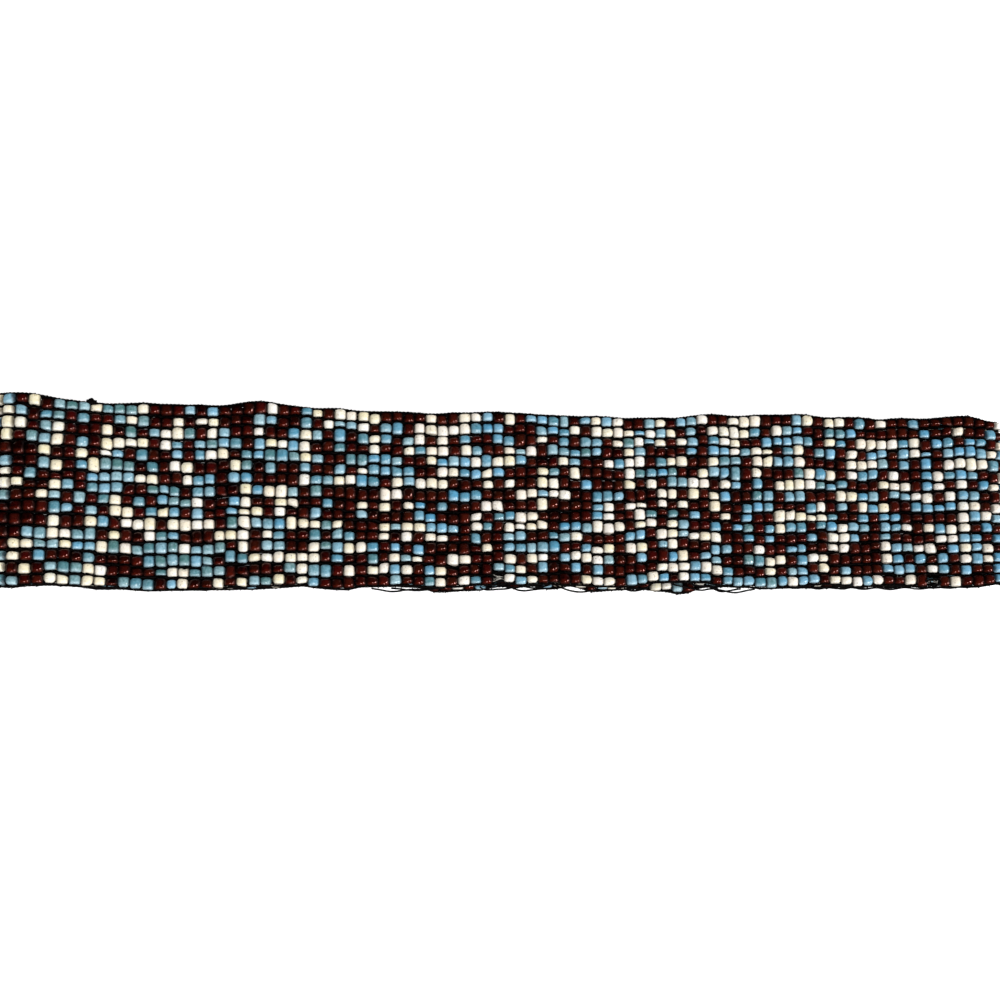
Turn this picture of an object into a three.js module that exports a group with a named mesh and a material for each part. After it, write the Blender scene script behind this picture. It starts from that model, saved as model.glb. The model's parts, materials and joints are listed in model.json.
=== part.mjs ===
// A beaded belt: a loom-woven band of seed beads, joined into a loop and laid flat, so that
// one layer of the band lies on the other between two rounded end folds.
// The frame: X along the belt, Y across it, Z up, with the ground at Z = 0. The origin is
// under the middle of the belt.
import * as THREE from "three";

// Driving dimensions, in millimetres.
const rowCount = 16; // rows of beads across the band
const rowPitch = 3.55; // one row: a bead's length and the warp thread beside it
const columnCount = 184; // columns of beads round the loop
const columnPitch = 3.6; // one column: a bead's diameter and its play
const beadDiameter = 3.4; // also the thickness of the band
const warpThickness = 0.75; // of the bundle of warp threads between two rows
const grooveDepth = 0.85; // from the crown of a row down to those threads
const crownShare = 0.6; // flat crown of a row, as a share of the row's width
const layerGap = 0.5; // free space between the layers where one lies on the other
const foldRadius = 6; // of the band's centre line round each end fold
const foldRun = 40; // length over which the upper layer comes down from a fold
const foldEase = 0.42; // pull of that slope's curve, as a share of its length
const edgeThreadDiameter = 0.75; // the selvedge thread along each edge
const threadClearance = 0.3; // between the band, its edge threads and the tie knot
const knotThreadDiameter = 0.5;
const knotWidth = 2.2;
const knotPlace = 0.47; // share of the left slope, counted from its foot

// How far each edge of the band waves out of its straight line, as a share of the row
// pitch. "along" is the place on the half length: -1 at the left fold and 1 at the right.
// The front is the layer on top, and the back the one on the ground.
const edgeTable = [
  { along: -1.0, frontUpper: 0.14, frontLower: 0.0, backUpper: 0.08, backLower: 0.02 },
  { along: -0.92, frontUpper: -0.25, frontLower: -0.12, backUpper: 0.0, backLower: 0.0 },
  { along: -0.8, frontUpper: -0.09, frontLower: 0.05, backUpper: -0.06, backLower: 0.02 },
  { along: -0.68, frontUpper: -0.07, frontLower: 0.18, backUpper: -0.1, backLower: 0.06 },
  { along: -0.55, frontUpper: 0.24, frontLower: 0.04, backUpper: -0.12, backLower: 0.08 },
  { along: -0.42, frontUpper: -0.08, frontLower: 0.03, backUpper: -0.16, backLower: 0.12 },
  { along: -0.3, frontUpper: -0.22, frontLower: 0.04, backUpper: -0.24, backLower: 0.26 },
  { along: -0.15, frontUpper: -0.28, frontLower: 0.0, backUpper: -0.32, backLower: 0.38 },
  { along: 0.0, frontUpper: -0.14, frontLower: -0.05, backUpper: -0.34, backLower: 0.4 },
  { along: 0.15, frontUpper: -0.26, frontLower: -0.03, backUpper: -0.34, backLower: 0.36 },
  { along: 0.3, frontUpper: -0.18, frontLower: 0.0, backUpper: -0.3, backLower: 0.4 },
  { along: 0.42, frontUpper: -0.08, frontLower: -0.02, backUpper: -0.26, backLower: 0.34 },
  { along: 0.55, frontUpper: 0.17, frontLower: -0.06, backUpper: -0.18, backLower: 0.22 },
  { along: 0.68, frontUpper: 0.12, frontLower: -0.1, backUpper: -0.12, backLower: 0.16 },
  { along: 0.8, frontUpper: 0.02, frontLower: -0.08, backUpper: -0.08, backLower: 0.14 },
  { along: 0.92, frontUpper: -0.06, frontLower: -0.02, backUpper: -0.04, backLower: 0.1 },
  { along: 1.0, frontUpper: -0.2, frontLower: -0.05, backUpper: 0.0, backLower: 0.06 },
];

// Fineness of the facets.
const lowerSteps = 12;
const upperSteps = 12;
const slopeSteps = 5;
const foldSteps = 7;
const threadSides = 8;
const knotSteps = 42;
const knotSides = 6;

// Heights of the band's centre line.
const lowerHeight = beadDiameter / 2;
const upperHeight = lowerHeight + beadDiameter + layerGap;
const foldTop = lowerHeight + 2 * foldRadius;

// The centre line of the loop, seen from the side, as runs of one curve each. It goes
// right along the ground, up round a fold, back along the top and down round the other.
// "front" says how far a run belongs to the upper layer, at its start and at its end.
function sideRuns(half) {
  const point = (x, z) => new THREE.Vector2(x, z);
  const foldCentre = lowerHeight + foldRadius;
  const quarter = Math.PI / 2;
  const slope = (side) => {
    const foldEnd = side * half;
    const footEnd = side * (half - foldRun);
    return new THREE.CubicBezierCurve(
      point(foldEnd, foldTop),
      point(foldEnd - side * foldRun * foldEase, foldTop),
      point(footEnd + side * foldRun * foldEase, upperHeight),
      point(footEnd, upperHeight),
    );
  };
  const right = slope(1);
  const left = slope(-1);
  const rising = new THREE.CubicBezierCurve(left.v3, left.v2, left.v1, left.v0);
  const fold = (x, from) =>
    new THREE.EllipseCurve(x, foldCentre, foldRadius, foldRadius, from, from + Math.PI, false);
  return {
    ground: {
      curve: new THREE.LineCurve(point(-half, lowerHeight), point(half, lowerHeight)),
      steps: lowerSteps,
      front: [0, 0],
    },
    rightFold: { curve: fold(half, -quarter), steps: foldSteps, front: [0, 1] },
    rightSlope: { curve: right, steps: slopeSteps, front: [1, 1] },
    top: { curve: new THREE.LineCurve(right.v3, left.v3), steps: upperSteps, front: [1, 1] },
    leftSlope: { curve: rising, steps: slopeSteps, front: [1, 1] },
    leftFold: { curve: fold(-half, quarter), steps: foldSteps, front: [1, 0] },
  };
}

// Half the distance between the two folds' centres, for which the loop has its length.
function halfLength() {
  const trial = 2 * foldRun;
  const lengths = Object.values(sideRuns(trial)).map((run) => run.curve.getLength());
  const trialLength = lengths.reduce((sum, length) => sum + length, 0);
  return trial + (columnCount * columnPitch - trialLength) / 4;
}

// The value of one column of the edge table at a place along the belt.
function edgeOffset(column, along) {
  const last = edgeTable.length - 1;
  const after = edgeTable.findIndex((row, i) => i > 0 && row.along >= along);
  const i = after < 0 ? last : after;
  const [from, to] = [edgeTable[i - 1], edgeTable[i]];
  const share = THREE.MathUtils.smoothstep(along, from.along, to.along);
  return THREE.MathUtils.lerp(from[column], to[column], share) * rowPitch;
}

// Y where the beads end at the band's upper and lower edge, at a place along the belt and
// between the layers.
function edgesAt(along, front) {
  const straight = (rowCount * rowPitch - warpThickness) / 2;
  const offset = (edge) =>
    THREE.MathUtils.lerp(
      edgeOffset(`back${edge}`, along),
      edgeOffset(`front${edge}`, along),
      front,
    );
  return { upper: straight + offset("Upper"), lower: -straight - offset("Lower") };
}

// Places round the loop, each with its point on the centre line, the outward normal
// there and the band's two edges.
function stationsRound(half) {
  const stations = [];
  for (const { curve, steps, front } of Object.values(sideRuns(half))) {
    for (let i = 0; i < steps; i++) {
      const share = i / steps;
      const point = curve.getPointAt(share);
      const tangent = curve.getTangentAt(share);
      const along = THREE.MathUtils.clamp(point.x / half, -1, 1);
      const frontShare = THREE.MathUtils.lerp(front[0], front[1], share);
      stations.push({
        centre: new THREE.Vector3(point.x, 0, point.y),
        outward: new THREE.Vector3(tangent.y, 0, -tangent.x),
        edges: edgesAt(along, frontShare),
      });
    }
  }
  return stations;
}

// A closed solid through one ring of points at each station. outline(station) gives the
// ring as points of y, across the belt, and rise, outward from the centre line.
function loftRound(stations, outline) {
  const rings = stations.map((station) =>
    outline(station).map(({ y, rise }) => {
      const corner = station.centre.clone().addScaledVector(station.outward, rise);
      return corner.setY(y);
    }),
  );
  const around = rings[0].length;
  const faces = [];
  for (let i = 0; i < rings.length; i++) {
    const next = (i + 1) % rings.length;
    for (let j = 0; j < around; j++) {
      const beside = (j + 1) % around;
      const [a, b] = [i * around + j, i * around + beside];
      const [c, d] = [next * around + j, next * around + beside];
      faces.push(a, c, b, b, c, d);
    }
  }
  const geometry = new THREE.BufferGeometry().setFromPoints(rings.flat());
  geometry.setIndex(faces);
  geometry.computeVertexNormals();
  return geometry;
}

// The band's section: a ridge for each row of beads on both faces, with a groove between
// two rows where the warp threads lie.
function bandOutline({ edges }) {
  const crown = beadDiameter / 2;
  const groove = crown - grooveDepth;
  const shoulder = (1 - crownShare) / 2;
  const upperWarp = edges.upper + warpThickness / 2;
  const lowerWarp = edges.lower - warpThickness / 2;
  const yOf = (rows) => THREE.MathUtils.lerp(upperWarp, lowerWarp, rows / rowCount);
  const face = [{ y: edges.upper, rise: groove }];
  for (let row = 0; row < rowCount; row++) {
    if (row > 0) face.push({ y: yOf(row), rise: groove });
    face.push({ y: yOf(row + shoulder), rise: crown });
    face.push({ y: yOf(row + 1 - shoulder), rise: crown });
  }
  face.push({ y: edges.lower, rise: groove });
  const inside = face.map(({ y, rise }) => ({ y, rise: -rise })).reverse();
  return [...face, ...inside];
}

// The section of the selvedge thread outside one edge of the band. side is 1 for the
// upper edge and -1 for the lower.
function edgeThreadOutline(side) {
  const radius = edgeThreadDiameter / 2;
  return ({ edges }) => {
    const edge = side > 0 ? edges.upper : edges.lower;
    const y = edge + side * (threadClearance + radius);
    return Array.from({ length: threadSides }, (_, i) => {
      const angle = (2 * Math.PI * (i + 0.5)) / threadSides;
      return { y: y + radius * Math.cos(angle), rise: radius * Math.sin(angle) };
    });
  };
}

// The overhand knot that ties off the thread, outside the upper edge of the top layer.
function tieKnot(half, material) {
  const { curve } = sideRuns(half).leftSlope;
  const place = curve.getPointAt(knotPlace);
  const tangent = curve.getTangentAt(knotPlace);
  const tube = knotThreadDiameter / 2;
  const radius = (knotWidth / 2 - tube) / 1.5; // a torus knot is 1.5 radii out to its tube
  const geometry = new THREE.TorusKnotGeometry(radius, tube, knotSteps, knotSides, 2, 3);
  geometry.computeBoundingBox();
  const knot = new THREE.Mesh(geometry, material);
  const seat = edgesAt(place.x / half, 1).upper + 2 * threadClearance + edgeThreadDiameter;
  knot.position.set(place.x, seat - geometry.boundingBox.min.y, place.y);
  knot.rotation.y = Math.atan2(tangent.y, -tangent.x);
  return knot;
}

const beadGlass = new THREE.MeshStandardMaterial({ color: 0x5a211b, roughness: 0.3, metalness: 0 });
const blackThread = new THREE.MeshStandardMaterial({ color: 0x0c0b0d, roughness: 0.8, metalness: 0 });

const half = halfLength();
const stations = stationsRound(half);
const pieces = {
  bead_band: new THREE.Mesh(loftRound(stations, bandOutline), beadGlass),
  upper_edge_thread: new THREE.Mesh(loftRound(stations, edgeThreadOutline(1)), blackThread),
  lower_edge_thread: new THREE.Mesh(loftRound(stations, edgeThreadOutline(-1)), blackThread),
  tie_knot: tieKnot(half, blackThread),
};

const belt = new THREE.Group();
for (const [name, mesh] of Object.entries(pieces)) {
  mesh.name = name;
  belt.add(mesh);
}

// The origin goes under the middle of the belt's box.
const box = new THREE.Box3().setFromObject(belt, true);
const middle = box.getCenter(new THREE.Vector3());
belt.position.set(-middle.x, -middle.y, -box.min.z);

export default belt;
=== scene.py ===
"""A beaded stretch belt, lying flat: seed beads woven on black thread, in a plain studio.

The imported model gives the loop's place and size. This script lays 16 rows and 184 columns of
beads round that loop, runs the warp, weft and selvedge threads through them, and sets the
materials, the light and the camera. Layout is worked out in millimetres and the meshes are
made in metres.
"""
import json
from math import cos, pi, radians, sin

import bmesh
import bpy
import numpy as np
from mathutils import Matrix, Vector

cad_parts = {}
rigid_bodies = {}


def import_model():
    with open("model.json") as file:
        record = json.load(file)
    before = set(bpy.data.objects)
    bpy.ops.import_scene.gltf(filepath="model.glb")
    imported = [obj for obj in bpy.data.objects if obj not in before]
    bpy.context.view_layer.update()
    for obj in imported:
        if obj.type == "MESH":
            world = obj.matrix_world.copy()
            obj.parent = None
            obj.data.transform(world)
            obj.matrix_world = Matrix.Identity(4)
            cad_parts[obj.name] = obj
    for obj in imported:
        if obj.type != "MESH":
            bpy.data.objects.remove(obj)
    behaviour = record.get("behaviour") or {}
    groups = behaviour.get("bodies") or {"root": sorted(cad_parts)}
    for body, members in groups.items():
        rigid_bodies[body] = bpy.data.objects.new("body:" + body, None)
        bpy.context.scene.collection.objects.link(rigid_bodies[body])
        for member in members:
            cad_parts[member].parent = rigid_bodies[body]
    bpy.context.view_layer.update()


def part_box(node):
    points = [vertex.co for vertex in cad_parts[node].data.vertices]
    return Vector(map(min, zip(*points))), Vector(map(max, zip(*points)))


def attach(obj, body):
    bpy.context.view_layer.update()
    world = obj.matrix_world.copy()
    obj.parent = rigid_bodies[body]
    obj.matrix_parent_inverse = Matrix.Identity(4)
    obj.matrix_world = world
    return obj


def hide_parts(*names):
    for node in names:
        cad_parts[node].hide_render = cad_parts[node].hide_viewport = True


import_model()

MM = 0.001


def table(columns, rows):
    """The rows of a table as dictionaries, by the names of its columns."""
    return [dict(zip(columns, row)) for row in rows]


# The band, as it is in the part's source. Millimetres.
ROW_COUNT = 16
ROW_PITCH = 3.55
COLUMN_COUNT = 184
COLUMN_PITCH = 3.6
BEAD_DIAMETER = 3.4
LAYER_GAP = 0.5
FOLD_RADIUS = 6.0
FOLD_RUN = 40.0
FOLD_EASE = 0.42
KNOT_PLACE = 0.47  # share of the left slope, from its foot
HALF_WIDTH = ROW_COUNT * ROW_PITCH / 2
HALF_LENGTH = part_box("bead_band")[1].x / MM - FOLD_RADIUS - BEAD_DIAMETER / 2
SLOPE_FOOT = 1 - FOLD_RUN / HALF_LENGTH  # share of the half length
LOWER_HEIGHT = BEAD_DIAMETER / 2
UPPER_HEIGHT = LOWER_HEIGHT + BEAD_DIAMETER + LAYER_GAP
FOLD_TOP = LOWER_HEIGHT + 2 * FOLD_RADIUS
MODEL_SHIFT = np.array([0.0, -0.183, 0.0])  # from the band's own middle to the model's origin

# Waves of the band's edges out of their straight lines, as shares of the row pitch, by the
# place on the half length. The front is the layer on top and the back the one on the ground.
EDGE_TABLE = table(("along", "front_upper", "front_lower", "back_upper", "back_lower"), [
    (-1.0, 0.14, 0.0, 0.6, -0.38),
    (-0.92, -0.25, -0.12, 0.5, -0.4),
    (-0.8, -0.09, 0.05, 0.2, -0.12),
    (-0.68, -0.07, 0.18, -0.1, 0.04),
    (-0.55, 0.24, 0.04, -0.12, -0.1),
    (-0.42, -0.08, 0.03, -0.16, -0.06),
    (-0.3, -0.22, 0.04, -0.24, -0.15),
    (-0.21, -0.26, 0.0, -0.28, -0.12),
    (-0.17, -0.27, 0.0, -0.3, 0.28),
    (-0.08, -0.21, -0.12, -0.33, 0.34),
    (-0.05, -0.18, -0.26, -0.33, -0.15),
    (-0.015, -0.15, -0.2, -0.34, 0.16),
    (0.02, -0.16, -0.34, -0.34, -0.2),
    (0.06, -0.2, -0.42, -0.34, 0.15),
    (0.1, -0.24, -0.25, -0.34, -0.2),
    (0.15, -0.26, 0.0, -0.34, 0.2),
    (0.2, -0.23, -0.04, -0.32, 0.24),
    (0.25, -0.2, -0.38, -0.31, -0.05),
    (0.28, -0.18, -0.5, -0.3, 0.27),
    (0.34, -0.15, -0.5, -0.29, 0.26),
    (0.385, -0.12, -0.34, -0.28, -0.28),
    (0.42, -0.08, 0.0, -0.26, -0.2),
    (0.48, -0.04, 0.06, -0.22, -0.2),
    (0.55, 0.17, -0.06, -0.18, -0.14),
    (0.68, 0.12, -0.1, -0.12, -0.22),
    (0.8, 0.02, -0.08, -0.08, -0.22),
    (0.92, -0.06, -0.02, -0.1, -0.36),
    (0.97, -0.14, -0.04, -0.2, -0.4),
    (1.0, -0.6, -0.05, -0.6, -0.42),
])

# How the beads are mixed and how much they differ. Shares of one, and millimetres. Random
# waves have a size, and the rows and the columns over which they stay alike.
WEAVE_SEED = 41
BEAD_COLOURS = ("oxblood", "blue", "cream")
COLOUR_SHARES = (0.395, 0.315, 0.29)
COLOUR_RUN = 0.1  # chance that a bead has the colour of the one before it in its row
BEAD_GAP = 0.38  # between two beads of a column, where the warp thread lies
BEAD_PLAY = 0.42  # most that a bead is shorter than the room it has
SHORTEST_BEAD = 1.4
BEAD_WIDTH = 3.56
BEAD_WIDTH_SPREAD = 0.2
BEAD_WIDTH_LIMITS = (2.9, 3.9)
STEEP_WIDTH_LIMITS = (3.54, 3.74)  # on the slopes and the folds
BEAD_SHIFT = 0.08
BEAD_RISE = 0.07
RISE_LIMIT = 0.14
GROUND_SWELL = 1.12  # a tilted bead's height, of its width
GROUND_ROOM = 0.08
GROUND_TURN = 0.3  # how far round the fold a bead still counts as on the ground
ROW_JITTER = 0.31  # of a row line from one column to the next
EDGE_JITTER = 0.2
JITTER_WAVE = (1, 0, 0.45)  # of both jitters
ROW_WAVE = (0.24, 1.2, 5.0)  # the slow waves of a row line
EDGE_RIPPLE = (0.34, 0, 1.4)  # the short waves of each edge
EDGE_RIPPLE_FADE = 4  # the power by which they fade towards the other edge
COLUMN_WANDER = (0.28, 0, 3.0)  # of a column out of its even place
COLUMN_BEND = (0.2, 3.0, 0.8)  # of a column along its own length
STEEP_FREEDOM = 0.4  # of the columns on the slopes and folds, which lie closer
FRONT_LEAN = (0.3, -0.35)  # of the front's columns: at the middle, and more per half length
TONE_ALONG = 0.12  # how much paler the front's beads are made per half length, towards the right fold
CAST_SPREAD = 0.3
CAST_DRIFT = (0.1, 4.0, 9.0)
CAST_ALONG = 0.35
PARTING = {"along": 0.925, "rows": (7, 13), "width": 1.2, "fade_columns": 9}
MISSING_BEAD = {"along": -0.06, "row": 15}  # bare threads show where it was
SNAG = {"along": 0.875, "row": 15}  # loose loops on the lower edge

# The bead forms. Sizes are shares of the bead's diameter or length. Taper is the difference
# of its two ends' widths, slant the tilt of one end face, skew the shift between the ends.
BEAD_FORMS = table(("name", "share", "taper", "slant", "skew", "corner", "belly"), [
    ("square", 0.18, 0.0, 0.02, 0.0, 0.25, 0.02),
    ("barrel", 0.19, 0.03, 0.02, 0.0, 0.3, 0.05),
    ("cone", 0.15, 0.24, 0.03, 0.0, 0.27, 0.02),
    ("cut_askew", 0.16, 0.06, 0.28, 0.0, 0.25, 0.02),
    ("leaning", 0.12, 0.03, 0.1, 0.22, 0.28, 0.02),
    ("pebble", 0.15, 0.1, 0.12, 0.06, 0.37, 0.06),
    ("wedge", 0.05, 0.12, 0.55, 0.05, 0.26, 0.02),
])
BEAD_SIDES = 12
HOLE_SHARE = 0.17  # radius of the hole, of the bead's diameter
HOLE_DISH = 0.05  # how far the hole's rim lies below the end face
BEAD_TILT = radians(7)

# Threads. Millimetres.
WARP_DIAMETER = 0.78
WARP_LAY = ((0.72, -0.5), (0.0, 0.2), (-0.72, -0.5))  # how far aside and outward each lies
EDGE_WARP_IN = 0.85  # of the outermost warps, inside their row lines
WEFT_DIAMETER = 0.3
WEFT_SPREAD = 0.17  # of its two passes in a bead's hole
WEFT_HUMP = 0.66  # where it crosses a warp
WEFT_SINK = 0.06  # into the selvedge thread that it turns round
EDGE_THREAD_DIAMETER = 1.0
LOWER_EDGE_DIAMETER = 0.76
EDGE_STRAND_SHARE = 0.58  # of the selvedge thread's diameter, of each of its two strands
EDGE_THREAD_OUT = -0.05  # its middle, outside the outermost row line
EDGE_STEP = 0.5
EDGE_EASE_COLUMNS = 1.5  # over which the selvedge evens out the row line
THREAD_LAY = 2.4  # length of one turn of the twist
THREAD_RIB = 0.5  # from one rib of the nylon's own twist to the next
LOOSE_DIAMETER = 0.56
FIBRE_DIAMETER = 0.2
BARE_THREADS = ((0.9, 0.5), (0.1, 0.9), (-0.7, 0.4))  # across and outward, at the missing bead
FIBRE_COUNT = 5
SNAG_SPREAD = 1.7
FIBRE_SPREADS = (0.5, 0.8, 0.8, 1.2, 1.4)  # of the pale loops at the snag

# Loose strands outside the front's lower edge, from start to end on the half length.
HANGING_STRANDS = table(("start", "end", "drop", "waves"), [
    (-0.31, -0.19, 0.8, 3),
    (-0.27, -0.16, 0.5, 2),
    (-0.09, -0.02, 1.6, 1),
    (-0.03, 0.09, 1.9, 3),
    (0.0, 0.06, 1.1, 1),
    (0.06, 0.15, 1.7, 2),
    (0.21, 0.27, 1.7, 1),
    (0.31, 0.41, 1.8, 2),
    (0.39, 0.49, 1.1, 3),
    (0.35, 0.46, 0.9, 3),
    (0.56, 0.8, 0.3, 9),
    (0.62, 0.97, 0.45, 12),
])
STRAND_OUT = 0.15  # from the edge, where it is caught
STRAND_SWING = 0.3
STRAND_SINK = (0.6, 0.5)  # below the layer's middle: where it is caught, and more at its lowest

# The tie knot. Millimetres.
KNOT_STRAND_DIAMETER = 0.58
KNOT_OUT = 0.75  # its middle, outside the selvedge thread's
KNOT_UNEVEN = 0.05
KNOT_END = 1.1
KNOT_END_LIFTS = ((-1, 0.2), (1, -0.3))  # side and lift of each cut end
BINDING_TURNS = 5  # of thread round the selvedge under the knot
BINDING_LENGTH = 2.6
BINDING_OUT = 0.1

# Glass. Noise scales are per metre. A bead's spot runs from -1 to 1 over its own size.
MOTTLE_SCALE = 1250.0
SPECK_SCALE = 1500.0
SPECK_LEVELS = (0.58, 0.72)
SPECK_DEPTH = 0.4  # as a share of the ripple's height
RIPPLE_SCALE = 700.0
RIPPLE_DEPTH = 0.0002  # metres
RIM_SIDE_END = 0.96  # the spot where the rim's painted shade is full, towards the neighbours in the row
RIM_HOLE_LATER = 0.14  # how much later it starts towards the holes
RIM_HOLE_END = 1.02
RIM_ROUGHNESS = 0.5
# where the lip's painted highlight begins and where it is full, towards the bead's lower end
LIP_SPAN = (-0.1, -0.85)
LIP_WOBBLE = 0.5

# The studio.
WHITE = (1.0, 1.0, 1.0, 1.0)
FLOOR_REACH = 2.2  # metres
FLOOR_GLOW = 0.5  # lifts the belt's shadow on the floor, for the camera only
AIR_FILL = 0.05  # strength of the even light from all round, which the glass doesn't mirror

# The studio lights: azimuth from the belt's near side towards +X and elevation in degrees,
# distance and size in metres, power in watts, and whether the glass reflects it.
LIGHTS = table(("name", "azimuth", "elevation", "distance", "size", "power", "gleams"), [
    ("near_window", 8, 38, 3.0, 0.6, 50, True),
    ("side_window", 62, 25, 3.0, 0.6, 50, True),
    ("near_left_soft", -50, 42, 2.6, 1.8, 17, False),
    ("far_right_soft", 130, 42, 2.6, 1.8, 31, False),
    ("far_left_soft", 210, 42, 2.6, 1.8, 31, False),
])

# The photograph's view, in millimetres from the middle of the belt's underside.
CAMERA_PLACE = (-68.6, -66.6, 435.5)
CAMERA_LOOK = (0.1395, 0.1502, -0.9788)
CAMERA_ROLL = radians(0.67)
CAMERA_ANGLE = radians(40)


class LoopPath:
    """The band's centre line, seen from the side: along the ground, up round the right fold,
    back along the top and down round the left fold. Each place on it is a length in mm."""

    def __init__(self):
        foot = HALF_LENGTH - FOLD_RUN
        runs = [
            (self.line(-HALF_LENGTH, HALF_LENGTH, LOWER_HEIGHT), 0, 0),
            (self.fold(1), 0, 1),
            (self.slope(1), 1, 1),
            (self.line(foot, -foot, UPPER_HEIGHT), 1, 1),
            (self.slope(-1)[::-1], 1, 1),
            (self.fold(-1), 1, 0),
        ]
        self.points = np.concatenate([run[:-1] for run, _, _ in runs] + [runs[0][0][:1]])
        front = [np.linspace(start, end, len(run))[:-1] for run, start, end in runs]
        self.front = np.concatenate(front + [[0.0]])
        steps = np.linalg.norm(np.diff(self.points, axis=0), axis=1)
        self.places = np.concatenate([[0.0], np.cumsum(steps)])
        self.length = self.places[-1]

    @staticmethod
    def line(start, end, height, steps=600):
        return np.stack([np.linspace(start, end, steps), np.full(steps, height)], 1)

    @staticmethod
    def fold(side, steps=240):
        start = -side * pi / 2
        angle = np.linspace(start, start + pi, steps)
        x = side * HALF_LENGTH + FOLD_RADIUS * np.cos(angle)
        return np.stack([x, LOWER_HEIGHT + FOLD_RADIUS + FOLD_RADIUS * np.sin(angle)], 1)

    @staticmethod
    def slope(side, steps=400):
        top, foot = side * HALF_LENGTH, side * (HALF_LENGTH - FOLD_RUN)
        pull = side * FOLD_RUN * FOLD_EASE
        a, b = np.array((top, FOLD_TOP)), np.array((top - pull, FOLD_TOP))
        c, d = np.array((foot + pull, UPPER_HEIGHT)), np.array((foot, UPPER_HEIGHT))
        t = np.linspace(0, 1, steps)[:, None]
        return (1 - t) ** 3 * a + 3 * (1 - t) ** 2 * t * b + 3 * (1 - t) * t**2 * c + t**3 * d

    def point(self, place):
        """X and Z at a place."""
        return [np.interp(place % self.length, self.places, axis) for axis in self.points.T]

    def along(self, place):
        """The place on the half length, from -1 at the left fold to 1 at the right."""
        return np.clip(self.point(place)[0] / HALF_LENGTH, -1, 1)

    def frontness(self, place):
        """0 on the layer on the ground and 1 on the front."""
        return np.interp(place % self.length, self.places, self.front)

    def tangent(self, place, reach=0.4):
        x0, z0 = self.point(place - reach)
        x1, z1 = self.point(place + reach)
        way = np.stack([x1 - x0, np.zeros_like(x0), z1 - z0], -1)
        return way / np.linalg.norm(way, axis=-1, keepdims=True)

    def outward(self, place):
        """The normal that points out of the loop: down on the ground and up on the top."""
        way = self.tangent(place)
        return np.stack([way[..., 2], np.zeros_like(way[..., 0]), -way[..., 0]], -1)

    def at(self, place, y, rise=0.0):
        """A point of the band in mm: its place, its Y, and how far outward it lies."""
        x, z = self.point(place)
        centre = np.stack([x, np.broadcast_to(y, x.shape), z], -1)
        return centre + self.outward(place) * np.broadcast_to(rise, x.shape)[..., None]

    def front_place(self, along):
        """The place on the upper layer above a share of the half length."""
        upper = self.front > 0.99
        x, places = self.points[upper, 0], self.places[upper]
        order = np.argsort(x)
        return np.interp(along * HALF_LENGTH, x[order], places[order])


def edge_wave(column, along):
    """One column of the edge table at places along the belt, in mm."""
    stations = np.array([row["along"] for row in EDGE_TABLE])
    waves = np.array([row[column] for row in EDGE_TABLE]) * ROW_PITCH
    index = np.clip(np.searchsorted(stations, along) - 1, 0, len(stations) - 2)
    start, end = stations[index], stations[index + 1]
    share = np.clip((along - start) / (end - start), 0, 1)
    share = share * share * (3 - 2 * share)
    return (1 - share) * waves[index] + share * waves[index + 1]


def band_edges(path, place):
    """Y of the outermost row lines, upper and lower, before the model's shift to its origin."""
    along, front = path.along(place), path.frontness(place)

    def wave(edge):
        back = edge_wave(f"back_{edge}", along)
        return (1 - front) * back + front * edge_wave(f"front_{edge}", along)

    return HALF_WIDTH + wave("upper"), -HALF_WIDTH - wave("lower")


def smooth_noise(rng, shape, size, *reach):
    """Random values with a spread of "size" that stay alike over "reach": rows, columns."""
    noise = np.fft.fft2(rng.normal(size=shape))
    for axis, cells in enumerate(reach):
        damp = np.exp(-2 * (pi * np.fft.fftfreq(shape[axis]) * cells) ** 2)
        noise = noise * np.expand_dims(damp, 1 - axis)
    noise = np.fft.ifft2(noise).real
    return size * (noise / noise.std())


def part_neighbours(place, width, loop_length, rounds=40):
    """Pushes beads of a row apart where they would cut into each other."""
    wrap = np.zeros(place.shape[1])
    wrap[-1] = loop_length
    for _ in range(rounds):
        room = np.roll(place, -1, axis=1) + wrap - place
        press = np.minimum(room - (width + np.roll(width, -1, axis=1)) / 2, 0) / 2
        place = place + press - np.roll(press, 1, axis=1)
    return place


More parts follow.
